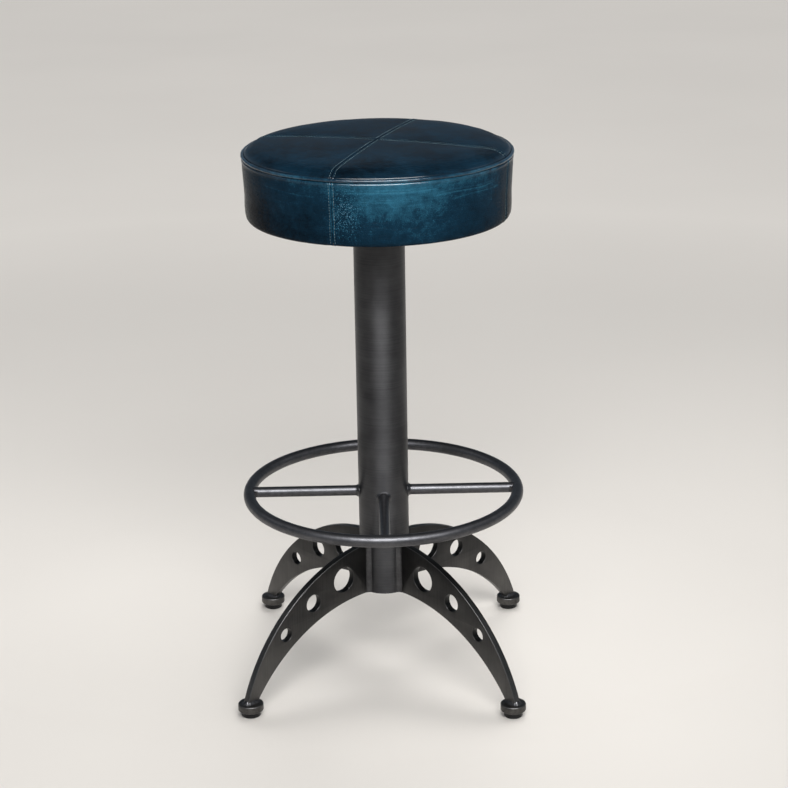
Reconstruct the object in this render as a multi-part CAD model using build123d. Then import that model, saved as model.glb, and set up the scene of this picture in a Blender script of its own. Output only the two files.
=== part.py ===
from build123d import *
from math import asin, atan2, cos, degrees, hypot, radians, sin, sqrt
import os

# A bar stool: a round leather seat that swivels on a welded steel pedestal.
# Millimetres and degrees, +Z up, origin on the floor below the middle of the column.

# Seat cover
SEAT_HEIGHT = 793.0  # floor to the top of the crown
SEAT_DIAMETER = 380.0  # across the piping
SEAT_FOOT_DIAMETER = 372.0  # the side band draws in to this at its foot
SEAT_TURN = -16.8  # turn of the seat's sewn cross from the X and Y axes
CROWN_HEIGHT = 18.5  # piping to the top of the crown
CROWN_DROP = 4.5  # fall of the crown from its middle to its shoulder
SHOULDER_WIDTH = 20.0  # rounded rim of the crown
BAND_HEIGHT = 90.5  # piping to the underside of the seat
BAND_ROLL = 4.0  # upper edge of the band, rolled in under the piping
FOOT_ROLL = 6.0  # lower edge of the band, rolled round the board
HEM_WIDTH = 26.0  # leather turned under the board
LEATHER = 1.6
PIPING_DIAMETER = 5.0
PIPING_SEAT = 130.0  # direction from the piping's core to the crown's rim
SEAM_GAP = 0.4  # between two sewn panels
SEAM_ROLL = 1.0  # rounded edge of a panel along its seam
SKIN_GAP = 0.2  # between the cover and what fills it

# Seat board and underside
BOARD_THICKNESS = 18.0
DUST_COVER = 0.8
DUST_COVER_LAP = 11.0  # dust cover over the hem
DUST_COVER_STEP = 4.0  # width of its step down onto the hem
STAPLE_COUNT = 32
STAPLE_CROWN = 10.0
STAPLE_WIRE = 0.8

# Swivel bearing
PLATE_THICKNESS = 4.0
BALL_COUNT = 12
BALL_DIAMETER = 10.0
BALL_SEAT = 1.2  # depth of each ball in its race
BALL_PLAY = 0.05  # between a ball and the lower race
RUNNING_GAP = 0.3  # between the turning and the fixed pieces
RACE_DIAMETER = 72.0
CAGE_WIDTH = 15.0
CAGE_THICKNESS = 2.0
CAGE_PLAY = 0.15
PIVOT_DIAMETER = 12.0
PIVOT_SHOULDER = 18.0
PIVOT_HEAD = 22.0
PIVOT_HEAD_HEIGHT = 3.0
PIVOT_RIVET_HEIGHT = 2.5
PIVOT_PLAY = 0.06
PIVOT_ROOM = 3.0  # free space round the pivot's two heads
PLATE_MARGIN = 5.0  # metal beyond a screw head
PLATE_CORNER = 14.0

# Fasteners, metric M8
THREAD = 8.0
THREAD_PLAY = 0.05
CLEARANCE_HOLE = 9.0
BOLT_FLATS = 13.0
BOLT_HEAD = 5.3
WASHER_DIAMETER = 16.0
WASHER_THICKNESS = 1.6
SCREW_HEAD_DIAMETER = 14.0
SCREW_HEAD = 4.4
SCREW_ROOM = 3.0  # between a screw head and its neighbours
SCREW_COUNT = 4
TEE_FLANGE = 22.0
TEE_FLANGE_THICKNESS = 1.6
TEE_BARREL = 10.5
TEE_PLAY = 0.15

# Column
COLUMN_DIAMETER = 73.0
COLUMN_WALL = 5.2
TOP_PLATE = 8.0
WELD_GAP = 0.1  # fit-up gap between welded pieces
WELD_HOLLOW = 0.38  # share of a straight face that a hollow weld face reaches
TOP_WELD = 6.0

# Legs
LEG_THICKNESS = 10.0
LEG_TOP_HEIGHT = 198.3  # upper edge at the column
LEG_BOTTOM_HEIGHT = 120.7  # lower edge at the column, level with the column's end
LEG_UPPER_RADIUS = 262.3
LEG_LOWER_RADIUS = 251.1
LEG_TIP_WIDTH = 19.0
LEG_ROOT = 2.0  # blank length cut back to the column's curve
NEAR_HOLE_DISTANCE = 49.0  # from the column to each hole's middle
MIDDLE_HOLE_DISTANCE = 108.0
FAR_HOLE_DISTANCE = 161.0
NEAR_HOLE_DIAMETER = 38.0
MIDDLE_HOLE_DIAMETER = 26.0
FAR_HOLE_DIAMETER = 20.0
LEG_WELD = 6.0
FOOT_CIRCLE_DIAMETER = 527.0
FOOT_WELD = 4.0
FOOT_WELD_LIP = 0.8

# Feet
COLLAR_DIAMETER = 36.0
COLLAR_HEIGHT = 11.0
COLLAR_CHAMFER = 1.6
PAD_DIAMETER = 26.0
PAD_HEIGHT = 8.0
PAD_ROUND = 1.5
STUD_DIAMETER = 10.0
STUD_PLAY = 0.05
STUD_SOCKET = 5.0  # depth of the stud in its pad
STUD_END_GAP = 0.6

# Footrest
FOOTREST_HEIGHT = 270.5
FOOTREST_TURN = 2.7  # turn of the spokes from the X and Y axes
RING_DIAMETER = 391.4  # along the tube's middle
RING_TUBE = 17.2
SPOKE_DIAMETER = 15.2
SPOKE_WELD = 4.0
RING_WELD = 3.5
RING_WELD_HEIGHT = 9.0

DIAGONALS = {"back_right": 45, "back_left": 135, "front_left": 225, "front_right": 315}
CROSS = {"right": 0, "back": 90, "left": 180, "front": 270}

# Heights of the seat, from its crown down to the column's end
piping_z = SEAT_HEIGHT - CROWN_HEIGHT
seat_bottom = piping_z - BAND_HEIGHT
board_bottom = seat_bottom + LEATHER + SKIN_GAP
board_top = board_bottom + BOARD_THICKNESS
upper_plate_top = board_bottom - DUST_COVER
upper_plate_bottom = upper_plate_top - PLATE_THICKNESS
ball_z = upper_plate_bottom - BALL_DIAMETER / 2 + BALL_SEAT - RUNNING_GAP
lower_plate_top = ball_z - BALL_DIAMETER / 2 + BALL_SEAT
lower_plate_bottom = lower_plate_top - PLATE_THICKNESS
column_top = lower_plate_bottom - TOP_PLATE

# Radii of the bearing and its fasteners, from the race and the column outwards
column_r = COLUMN_DIAMETER / 2
ball_r = BALL_DIAMETER / 2
race_r = RACE_DIAMETER / 2
cage_outer_r = race_r + CAGE_WIDTH / 2
weld_outer_r = column_r + WELD_GAP + TOP_WELD
screw_circle_r = max(cage_outer_r, weld_outer_r) + SCREW_ROOM + SCREW_HEAD_DIAMETER / 2
plate_r = screw_circle_r + SCREW_HEAD_DIAMETER / 2 + PLATE_MARGIN
bolt_circle_r = plate_r + SCREW_ROOM + WASHER_DIAMETER / 2
pivot_room_r = PIVOT_HEAD / 2 + PIVOT_ROOM

# Heights and radii of the feet
collar_bottom = PAD_HEIGHT + RUNNING_GAP
collar_top = collar_bottom + COLLAR_HEIGHT
foot_r = FOOT_CIRCLE_DIAMETER / 2
tip_inner = foot_r - LEG_TIP_WIDTH / 2
tip_outer = foot_r + LEG_TIP_WIDTH / 2


def disc(diameter, bottom, top):
    """An upright cylinder between two heights."""
    return Pos(0, 0, (bottom + top) / 2) * Cylinder(diameter / 2, top - bottom)


def turned(edges):
    """A closed outline of radius and height, turned about the upright axis."""
    return revolve(Plane.XZ * make_face(edges), Axis.Z)


def outline(*points):
    """A closed outline of straight edges."""
    return Polyline(*points, close=True).edges()


def around(shape, count, first=0.0):
    """Copies of a shape, evenly spaced about the upright axis."""
    return [Rot(0, 0, first + 360 / count * step) * shape for step in range(count)]


def group(shapes):
    """Separate solids kept in one node."""
    return Compound([solid for shape in shapes for solid in shape.solids()])


def drilled(body, diameter, circle_r, count, first=0.0):
    """A body with a circle of upright holes right through it."""
    drill = Pos(circle_r, 0, 0) * Cylinder(diameter / 2, 4 * SEAT_HEIGHT)
    for hole in around(drill, count, first):
        body -= hole
    return body


# Seat cover: a crown of two tangent arcs, and a band of two rolled edges and a straight side

seat_r = SEAT_DIAMETER / 2
piping_r = PIPING_DIAMETER / 2
piping_core_r = seat_r - piping_r
rim_reach = piping_r + SKIN_GAP
rim_edge = (
    piping_core_r + rim_reach * cos(radians(PIPING_SEAT)),
    piping_z + rim_reach * sin(radians(PIPING_SEAT)),
)
shoulder = (rim_edge[0] - SHOULDER_WIDTH, SEAT_HEIGHT - CROWN_DROP)
crown_radius = (shoulder[0] ** 2 + CROWN_DROP**2) / (2 * CROWN_DROP)
crown_centre = (0.0, SEAT_HEIGHT - crown_radius)
crown_angle = degrees(asin(shoulder[0] / crown_radius))
rim_chord = (rim_edge[0] - shoulder[0], shoulder[1] - rim_edge[1])
rim_bend = degrees(atan2(rim_chord[1], rim_chord[0])) - crown_angle
rim_radius = hypot(*rim_chord) / (2 * sin(radians(rim_bend)))
rim_centre = (
    shoulder[0] - rim_radius * sin(radians(crown_angle)),
    shoulder[1] - rim_radius * cos(radians(crown_angle)),
)

roll_r = seat_r - BAND_ROLL
roll_reach = BAND_ROLL + SKIN_GAP + piping_r
roll_centre = (roll_r, piping_z - sqrt(roll_reach**2 - (piping_core_r - roll_r) ** 2))
foot_roll_centre = (SEAT_FOOT_DIAMETER / 2 - FOOT_ROLL, seat_bottom + FOOT_ROLL)
band_run = (foot_roll_centre[0] - roll_centre[0], roll_centre[1] - foot_roll_centre[1])
band_lean = degrees(asin((BAND_ROLL - FOOT_ROLL) / hypot(*band_run)) - atan2(*band_run))
hem_end = foot_roll_centre[0] - HEM_WIDTH


def on_circle(centre, radius, angle):
    """The point of a circle at an angle from the outward direction."""
    return (centre[0] + radius * cos(radians(angle)), centre[1] + radius * sin(radians(angle)))


def crown_line(inset):
    """The crown's line, a given depth below the leather's face, from the middle to the rim."""
    crown = CenterArc(crown_centre, crown_radius - inset, 90, -crown_angle)
    rim = CenterArc(rim_centre, rim_radius - inset, 90 - crown_angle, -2 * rim_bend)
    return [crown, rim]


def band_side(inset):
    """The two ends of the band's straight side, a given depth below the leather's face."""
    upper = on_circle(roll_centre, BAND_ROLL - inset, -band_lean)
    lower = on_circle(foot_roll_centre, FOOT_ROLL - inset, -band_lean)
    return upper, lower


def band_line(inset):
    """The band's line from under the piping, down the side and under the board to the hem."""
    upper, lower = band_side(inset)
    under = on_circle(foot_roll_centre, FOOT_ROLL - inset, -90)
    return [
        CenterArc(roll_centre, BAND_ROLL - inset, 90, -90 - band_lean),
        Line(upper, lower),
        CenterArc(foot_roll_centre, FOOT_ROLL - inset, -band_lean, band_lean - 90),
        Line(under, (hem_end, under[1])),
    ]


def skin(line):
    """Leather of even thickness, turned about the upright axis from the line of its face."""
    face, back = line(0.0), line(LEATHER)
    start = Line(face[0] @ 0, back[0] @ 0)
    end = Line(face[-1] @ 1, back[-1] @ 1)
    edges = face + back + [end]
    if (start @ 0 - start @ 1).length > 0:
        edges.append(start)
    return turned(edges)


def is_cut(face):
    """True for the flat upright faces that the sewn cross leaves."""
    return face.geom_type == GeomType.PLANE and abs(face.normal_at().Z) < 0.5


def seam_edges(cover):
    """The edges along the seams on the outside of a cut cover."""
    inside = Vector(0, 0, seat_bottom + BAND_HEIGHT / 2)
    shell = [face for face in cover.faces() if not is_cut(face)]
    shell = [face for face in shell if face.normal_at().dot(face.center() - inside) > 0]
    outer = [edge for face in shell for edge in face.edges() if edge.length > 2 * LEATHER]
    cuts = [edge for face in cover.faces() if is_cut(face) for edge in face.edges()]
    return [edge for edge in cuts if any(edge.is_same(other) for other in outer)]


def panels(cover):
    """Four panels cut from a cover along the sewn cross, by the diagonal each one lies on."""
    for turn in (SEAT_TURN, SEAT_TURN + 90):
        cover -= Rot(0, 0, turn) * Box(2 * SEAT_DIAMETER, SEAM_GAP, 4 * SEAT_HEIGHT)
    cover = fillet(seam_edges(cover), SEAM_ROLL)
    facing = {}
    for panel in cover.solids():
        middle = panel.center()
        quarter = round((degrees(atan2(middle.Y, middle.X)) - SEAT_TURN - 45) / 90) % 4
        facing[quarter] = panel
    return {name: facing[quarter] for quarter, name in enumerate(DIAGONALS)}


def seat_foam():
    """The foam pad that fills the cover down to the board."""
    depth = LEATHER + SKIN_GAP
    crown = crown_line(depth)
    upper, lower = band_side(depth)
    floor = board_top + SKIN_GAP
    share = (upper[1] - floor) / (upper[1] - lower[1])
    corner = (upper[0] + share * (lower[0] - upper[0]), floor)
    under_roll = (roll_centre[0] - SKIN_GAP, roll_centre[1])
    rest = Polyline(crown[-1] @ 1, under_roll, upper, corner, (0, floor), crown[0] @ 0)
    return turned(crown + rest.edges())


def tee_holes(body):
    """A body with clearance for the four T-nuts."""
    body = drilled(body, TEE_BARREL + 2 * TEE_PLAY, bolt_circle_r, SCREW_COUNT, 45)
    flange = disc(TEE_FLANGE + 2 * TEE_PLAY, board_top - TEE_FLANGE_THICKNESS, board_top + BOARD_THICKNESS)
    for cut in around(Pos(bolt_circle_r, 0, 0) * flange, SCREW_COUNT, 45):
        body -= cut
    return body


def seat_board():
    """The plywood disc, rounded below to the leather, with T-nut holes and room for the pivot."""
    radius = band_side(LEATHER + SKIN_GAP)[1][0]
    board = disc(2 * radius, board_bottom, board_top)
    board = fillet(board.edges().sort_by(Axis.Z)[0], FOOT_ROLL - LEATHER - SKIN_GAP)
    pocket_top = upper_plate_top + RUNNING_GAP + PIVOT_HEAD_HEIGHT + PIVOT_ROOM
    board -= disc(2 * pivot_room_r, board_bottom, pocket_top)
    return Rot(0, 0, SEAT_TURN) * tee_holes(board)


def dust_cover():
    """Black cloth under the board, stepping down over the leather's hem."""
    inner_z = board_bottom - DUST_COVER
    outer_z = seat_bottom - DUST_COVER
    step_end = hem_end - SKIN_GAP
    step_start = step_end - DUST_COVER_STEP
    edge = hem_end + DUST_COVER_LAP
    lower = [(edge, outer_z), (step_end, outer_z), (step_start, inner_z), (pivot_room_r, inner_z)]
    upper = [(r, z + DUST_COVER) for r, z in reversed(lower)]
    cloth = turned(outline(*lower, *upper))
    return Rot(0, 0, SEAT_TURN) * drilled(cloth, CLEARANCE_HOLE, bolt_circle_r, SCREW_COUNT, 45)


def cover_staples():
    """Staples through the dust cover and the hem, all round the underside."""
    top = seat_bottom - DUST_COVER
    staple = Pos(hem_end + DUST_COVER_LAP / 2, 0, top - STAPLE_WIRE / 2)
    staple = staple * Box(STAPLE_WIRE, STAPLE_CROWN, STAPLE_WIRE)
    return group(around(staple, STAPLE_COUNT, SEAT_TURN))


# Swivel bearing and its fasteners

def race(play):
    """The ring-shaped groove that a race leaves for the balls."""
    return Pos(0, 0, ball_z) * Torus(race_r, ball_r + play)


def swivel_upper_plate():
    """The square plate that turns with the seat, with a hole to reach the lower plate's screws."""
    side = 2 * (bolt_circle_r / sqrt(2) + WASHER_DIAMETER / 2)
    plate = extrude(RectangleRounded(side, side, PLATE_CORNER), amount=PLATE_THICKNESS)
    plate = Pos(0, 0, upper_plate_bottom) * plate - race(RUNNING_GAP)
    plate = drilled(plate, PIVOT_DIAMETER + 2 * PIVOT_PLAY, 0, 1)
    plate = drilled(plate, SCREW_HEAD_DIAMETER + SCREW_ROOM, screw_circle_r, 1, 90)
    return Rot(0, 0, SEAT_TURN) * drilled(plate, CLEARANCE_HOLE, bolt_circle_r, SCREW_COUNT, 45)


def swivel_lower_plate():
    """The round plate screwed to the column."""
    plate = disc(2 * plate_r, lower_plate_bottom, lower_plate_top) - race(BALL_PLAY)
    plate = drilled(plate, PIVOT_DIAMETER + 2 * PIVOT_PLAY, 0, 1)
    return drilled(plate, CLEARANCE_HOLE, screw_circle_r, SCREW_COUNT)


def swivel_balls():
    """The balls, spaced round the race."""
    return group(around(Pos(race_r, 0, ball_z) * Sphere(ball_r), BALL_COUNT))


def ball_cage():
    """The flat ring that spaces the balls."""
    low, high = ball_z - CAGE_THICKNESS / 2, ball_z + CAGE_THICKNESS / 2
    cage = disc(2 * cage_outer_r, low, high) - disc(2 * (race_r - CAGE_WIDTH / 2), low, high)
    return drilled(cage, BALL_DIAMETER + 2 * CAGE_PLAY, race_r, BALL_COUNT)


def swivel_pivot():
    """The shouldered rivet that holds the two plates together."""
    shank, shoulder_r, head = PIVOT_DIAMETER / 2, PIVOT_SHOULDER / 2, PIVOT_HEAD / 2
    head_bottom = upper_plate_top + RUNNING_GAP
    shoulder_top = upper_plate_bottom - RUNNING_GAP
    rivet_bottom = lower_plate_bottom - PIVOT_RIVET_HEIGHT
    return turned(
        outline(
            (0, rivet_bottom),
            (shoulder_r, rivet_bottom),
            (shoulder_r, lower_plate_bottom),
            (shank, lower_plate_bottom),
            (shank, lower_plate_top),
            (shoulder_r, lower_plate_top),
            (shoulder_r, shoulder_top),
            (shank, shoulder_top),
            (shank, head_bottom),
            (head, head_bottom),
            (head, head_bottom + PIVOT_HEAD_HEIGHT),
            (0, head_bottom + PIVOT_HEAD_HEIGHT),
        )
    )


def swivel_screws():
    """Button-head screws down through the lower plate into the column's top plate."""
    shank = disc(THREAD, column_top, lower_plate_top)
    head = disc(SCREW_HEAD_DIAMETER, lower_plate_top, lower_plate_top + SCREW_HEAD)
    head = fillet(head.edges().sort_by(Axis.Z)[-1], 0.8 * SCREW_HEAD)
    return group(around(Pos(screw_circle_r, 0, 0) * (shank + head), SCREW_COUNT))


def seat_bolts():
    """Hexagon bolts up through the upper plate and the board into the T-nuts."""
    under_washer = upper_plate_bottom - WASHER_THICKNESS
    shank = disc(THREAD, under_washer, board_top - TEE_FLANGE_THICKNESS)
    head = extrude(RegularPolygon(BOLT_FLATS / 2, 6, major_radius=False), amount=BOLT_HEAD)
    bolt = shank + Pos(0, 0, under_washer - BOLT_HEAD) * head
    return group(around(Pos(bolt_circle_r, 0, 0) * bolt, SCREW_COUNT, 45 + SEAT_TURN))


def seat_washers():
    """Flat washers under the bolt heads."""
    low, high = upper_plate_bottom - WASHER_THICKNESS, upper_plate_bottom
    washer = disc(WASHER_DIAMETER, low, high) - disc(CLEARANCE_HOLE, low, high)
    return group(around(Pos(bolt_circle_r, 0, 0) * washer, SCREW_COUNT, 45 + SEAT_TURN))


def tee_nuts():
    """Flanged nuts let into the top of the board."""
    flange = disc(TEE_FLANGE, board_top - TEE_FLANGE_THICKNESS, board_top)
    barrel = disc(TEE_BARREL, board_bottom, board_top)
    nut = flange + barrel - disc(THREAD + 2 * THREAD_PLAY, board_bottom, board_top)
    return group(around(Pos(bolt_circle_r, 0, 0) * nut, SCREW_COUNT, 45 + SEAT_TURN))


# Column

def column_core(gap):
    """The column's outside, with a gap round it, to cut other pieces to its curve."""
    return disc(COLUMN_DIAMETER + 2 * gap, 0, SEAT_HEIGHT)


def column_tube():
    """The pipe, open below and closed by the top plate."""
    bore = COLUMN_DIAMETER - 2 * COLUMN_WALL
    return disc(COLUMN_DIAMETER, LEG_BOTTOM_HEIGHT, column_top) - disc(bore, LEG_BOTTOM_HEIGHT, column_top)


def column_top_plate():
    """The round flange on the column, tapped for the swivel's screws."""
    plate = disc(2 * plate_r, column_top, lower_plate_bottom)
    plate -= disc(PIVOT_SHOULDER + 2 * PIVOT_ROOM, column_top, lower_plate_bottom)
    return drilled(plate, THREAD + 2 * THREAD_PLAY, screw_circle_r, SCREW_COUNT)


def bead(corner, foot, head):
    """The section of a fillet weld: a corner, its two feet and a hollow face between them."""
    hollow = tuple(c + WELD_HOLLOW * (f + h - 2 * c) for c, f, h in zip(corner, foot, head))
    return make_face([Line(corner, foot), ThreePointArc(foot, hollow, head), Line(head, corner)])


def top_plate_weld():
    """The weld round the column below its top plate."""
    wall = column_r + WELD_GAP
    section = bead((wall, column_top), (weld_outer_r, column_top), (wall, column_top - TOP_WELD))
    return revolve(Plane.XZ * section, Axis.Z)


# Legs: plates cut between two arcs, from the column out to the foot

def arc_centre(start, end, radius):
    """The centre, on the floor side, of an arc that falls from start to end."""
    run, fall = end[0] - start[0], end[1] - start[1]
    chord = hypot(run, fall)
    reach = sqrt(radius**2 - chord**2 / 4) / chord
    return ((start[0] + end[0]) / 2 + reach * fall, (start[1] + end[1]) / 2 - reach * run)


upper_centre = arc_centre((column_r, LEG_TOP_HEIGHT), (tip_outer, collar_top), LEG_UPPER_RADIUS)
lower_centre = arc_centre((column_r, LEG_BOTTOM_HEIGHT), (tip_inner, collar_top), LEG_LOWER_RADIUS)


def edge_height(centre, radius, r):
    """The height of a leg's edge at a distance from the axis."""
    return centre[1] + sqrt(radius**2 - (r - centre[0]) ** 2)


def edge_reach(centre, radius, z):
    """The distance of a leg's edge from the axis at a height."""
    return centre[0] + sqrt(radius**2 - (z - centre[1]) ** 2)


def upper_edge(r):
    """The height of the leg's upper edge."""
    return edge_height(upper_centre, LEG_UPPER_RADIUS, r)


def lower_edge(r):
    """The height of the leg's lower edge."""
    return edge_height(lower_centre, LEG_LOWER_RADIUS, r)


def leg_blank(thickness):
    """A leg plate along +X, before its holes."""
    root_top, root_bottom = (column_r, LEG_TOP_HEIGHT), (column_r, LEG_BOTTOM_HEIGHT)
    blank_end = column_r - LEG_ROOT
    middle = (column_r + foot_r) / 2
    upper = ThreePointArc(root_top, (middle, upper_edge(middle)), (tip_outer, collar_top))
    lower = ThreePointArc((tip_inner, collar_top), (middle, lower_edge(middle)), root_bottom)
    tip = Line(upper @ 1, lower @ 0)
    root = Polyline(lower @ 1, (blank_end, LEG_BOTTOM_HEIGHT), (blank_end, LEG_TOP_HEIGHT), upper @ 0)
    plate = extrude(Plane.XZ * make_face([upper, tip, lower] + root.edges()), thickness / 2, both=True)
    return plate - column_core(WELD_GAP)


def leg():
    """A leg plate along +X, with its holes on the line midway between its edges."""
    plate = leg_blank(LEG_THICKNESS)
    holes = {
        NEAR_HOLE_DISTANCE: NEAR_HOLE_DIAMETER,
        MIDDLE_HOLE_DISTANCE: MIDDLE_HOLE_DIAMETER,
        FAR_HOLE_DISTANCE: FAR_HOLE_DIAMETER,
    }
    for distance, diameter in holes.items():
        r = column_r + distance
        z = (upper_edge(r) + lower_edge(r)) / 2
        plate -= Pos(r, 0, z) * Rot(90, 0, 0) * Cylinder(diameter / 2, 2 * LEG_THICKNESS)
    return plate


def leg_welds():
    """The welds of one leg along +X: down both sides of the plate and across its upper edge."""
    face = LEG_THICKNESS / 2 + WELD_GAP
    wall = sqrt(column_r**2 - face**2)
    outer = sqrt(column_r**2 - (face + LEG_WELD) ** 2)
    section = bead((outer - LEG_ROOT, face), (wall + LEG_WELD, face), (outer, face + LEG_WELD))
    bottom, top = lower_edge(wall + LEG_WELD), upper_edge(wall + LEG_WELD)
    side = Pos(0, 0, bottom) * extrude(section, amount=top - bottom) - column_core(WELD_GAP)
    seat = LEG_TOP_HEIGHT + WELD_GAP
    foot = (column_r + LEG_WELD, upper_edge(column_r + LEG_WELD) + WELD_GAP)
    cap = bead((column_r - LEG_ROOT, seat), foot, (column_r - LEG_ROOT / 2, seat + LEG_WELD))
    cap = extrude(Plane.XZ * cap, LEG_THICKNESS / 2, both=True) - column_core(WELD_GAP)
    return [side, mirror(side, Plane.XZ), cap]


def foot_weld():
    """The weld round one leg's tip, on top of its collar."""
    top = collar_top + FOOT_WELD
    inner = edge_reach(lower_centre, LEG_LOWER_RADIUS, top) - FOOT_WELD_LIP
    outer = edge_reach(upper_centre, LEG_UPPER_RADIUS, top) + FOOT_WELD_LIP
    low = Rectangle(LEG_TIP_WIDTH + 2 * FOOT_WELD, LEG_THICKNESS + 2 * FOOT_WELD)
    high = Rectangle(outer - inner, LEG_THICKNESS + 2 * FOOT_WELD_LIP)
    sections = [Pos(foot_r, 0, collar_top) * low, Pos((inner + outer) / 2, 0, top) * high]
    return loft(sections) - leg_blank(LEG_THICKNESS + 2 * WELD_GAP)


# Feet

def foot_collar():
    """The round boss under a leg's tip, bored for the stud."""
    collar = disc(COLLAR_DIAMETER, collar_bottom, collar_top)
    collar = chamfer(collar.edges(), COLLAR_CHAMFER)
    collar -= disc(STUD_DIAMETER, collar_bottom, collar_top)
    return Pos(foot_r, 0, 0) * collar


def leveller_stud():
    """The threaded stud of a levelling foot."""
    low, high = PAD_HEIGHT - STUD_SOCKET, collar_top - STUD_END_GAP
    return Pos(foot_r, 0, 0) * disc(STUD_DIAMETER - 2 * STUD_PLAY, low, high)


def leveller_pad():
    """The moulded pad of a levelling foot."""
    pad = disc(PAD_DIAMETER, 0, PAD_HEIGHT)
    pad = fillet(pad.edges(), PAD_ROUND)
    pad -= disc(STUD_DIAMETER, PAD_HEIGHT - STUD_SOCKET, PAD_HEIGHT)
    return Pos(foot_r, 0, 0) * pad


# Footrest

ring_r = RING_DIAMETER / 2
spoke_r = SPOKE_DIAMETER / 2


def footrest_ring(gap=0.0):
    """The ring, or the space it takes with a gap round it."""
    return Pos(0, 0, FOOTREST_HEIGHT) * Torus(ring_r, RING_TUBE / 2 + gap)


def spoke_rod(gap):
    """A round rod along +X from inside the column to the middle of the ring's tube."""
    rod = Rot(0, 90, 0) * Cylinder(spoke_r + gap, ring_r)
    return Pos(ring_r / 2, 0, FOOTREST_HEIGHT) * rod


def spoke():
    """A spoke along +X, cut to the curves of the column and the ring."""
    return spoke_rod(0) - column_core(WELD_GAP) - footrest_ring(WELD_GAP)


def spoke_welds():
    """The welds of one spoke along +X: round it at the column and in its two corners at the ring."""
    side = spoke_r + WELD_GAP
    crest = side + SPOKE_WELD
    wall = sqrt(column_r**2 - crest**2)
    head = ((wall + column_r) / 2, crest)
    root = wall - SPOKE_WELD
    section = bead((wall, side), (column_r + SPOKE_WELD, side), head)
    section += make_face(outline((wall, side), head, (root, crest), (root, side)))
    at_column = Pos(0, 0, FOOTREST_HEIGHT) * revolve(section, Axis.X) - column_core(WELD_GAP)
    tube = ring_r - RING_TUBE / 2
    heel, toe = tube + RING_WELD, tube - RING_WELD
    section = bead((heel, side), (toe, side), (heel, side + 2 * RING_WELD))
    corner = Pos(0, 0, FOOTREST_HEIGHT) * extrude(section, RING_WELD_HEIGHT / 2, both=True)
    corner -= footrest_ring(WELD_GAP)
    return [at_column, corner, mirror(corner, Plane.XZ)]


nodes = {
    "column_tube": column_tube(),
    "column_top_plate": column_top_plate(),
    "top_plate_weld": top_plate_weld(),
    "footrest_ring": footrest_ring(),
    "swivel_lower_plate": swivel_lower_plate(),
    "swivel_screws": swivel_screws(),
    "swivel_balls": swivel_balls(),
    "swivel_ball_cage": ball_cage(),
    "swivel_pivot": swivel_pivot(),
    "swivel_upper_plate": swivel_upper_plate(),
    "seat_bolts": seat_bolts(),
    "seat_washers": seat_washers(),
    "seat_tee_nuts": tee_nuts(),
    "seat_board": seat_board(),
    "seat_foam": seat_foam(),
    "seat_piping": Pos(0, 0, piping_z) * Torus(piping_core_r, piping_r),
    "dust_cover": dust_cover(),
    "cover_staples": cover_staples(),
}
leg_beads, foot_beads, spoke_beads = [], [], []
for name, angle in DIAGONALS.items():
    turn = Rot(0, 0, angle)
    nodes[f"leg_{name}"] = turn * leg()
    nodes[f"foot_collar_{name}"] = turn * foot_collar()
    nodes[f"leveller_stud_{name}"] = turn * leveller_stud()
    nodes[f"leveller_pad_{name}"] = turn * leveller_pad()
    leg_beads += [turn * weld for weld in leg_welds()]
    foot_beads.append(turn * foot_weld())
for name, angle in CROSS.items():
    turn = Rot(0, 0, angle + FOOTREST_TURN)
    nodes[f"footrest_spoke_{name}"] = turn * spoke()
    spoke_beads += [turn * weld for weld in spoke_welds()]
nodes["leg_welds"] = group(leg_beads)
nodes["foot_welds"] = group(foot_beads)
nodes["spoke_welds"] = group(spoke_beads)
for name, panel in panels(skin(crown_line)).items():
    nodes[f"top_panel_{name}"] = panel
for name, panel in panels(skin(band_line)).items():
    nodes[f"side_panel_{name}"] = panel

os.makedirs("parts", exist_ok=True)
for name, shape in nodes.items():
    export_step(shape, f"parts/{name}.step")
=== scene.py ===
# %% [markdown]
# A bar stool: a round leather seat that swivels on a welded steel pedestal.
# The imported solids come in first, as a frame that nothing moves. Steel pieces whose solids are
# already right keep them and get a finish. Leather, thread, cloth and the pieces with worn or
# rounded edges are new surfaces, worked out with numpy and put where the solids are.

from math import radians

import bmesh
import bpy
import numpy as np
from mathutils import Matrix, Vector


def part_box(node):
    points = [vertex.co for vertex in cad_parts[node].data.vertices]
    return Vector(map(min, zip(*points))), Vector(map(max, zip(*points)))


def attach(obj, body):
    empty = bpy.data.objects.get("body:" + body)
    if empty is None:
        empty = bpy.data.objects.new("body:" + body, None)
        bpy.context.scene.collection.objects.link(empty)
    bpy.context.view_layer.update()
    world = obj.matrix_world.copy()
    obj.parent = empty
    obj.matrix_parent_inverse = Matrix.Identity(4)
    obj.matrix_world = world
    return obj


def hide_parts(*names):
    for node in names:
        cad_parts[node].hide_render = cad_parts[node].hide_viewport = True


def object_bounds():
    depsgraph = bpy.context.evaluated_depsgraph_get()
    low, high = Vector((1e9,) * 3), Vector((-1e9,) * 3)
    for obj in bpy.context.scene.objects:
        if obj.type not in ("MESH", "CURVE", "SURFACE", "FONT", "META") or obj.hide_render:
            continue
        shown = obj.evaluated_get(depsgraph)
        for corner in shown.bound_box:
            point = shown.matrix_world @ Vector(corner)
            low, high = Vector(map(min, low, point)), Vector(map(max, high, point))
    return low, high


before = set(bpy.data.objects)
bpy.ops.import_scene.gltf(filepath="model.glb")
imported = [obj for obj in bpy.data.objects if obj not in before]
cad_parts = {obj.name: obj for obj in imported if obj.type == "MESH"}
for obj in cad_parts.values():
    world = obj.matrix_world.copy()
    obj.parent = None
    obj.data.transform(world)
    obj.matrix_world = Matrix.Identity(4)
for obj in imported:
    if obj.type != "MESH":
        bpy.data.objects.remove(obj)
cad_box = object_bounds()
scene = bpy.context.scene
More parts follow.
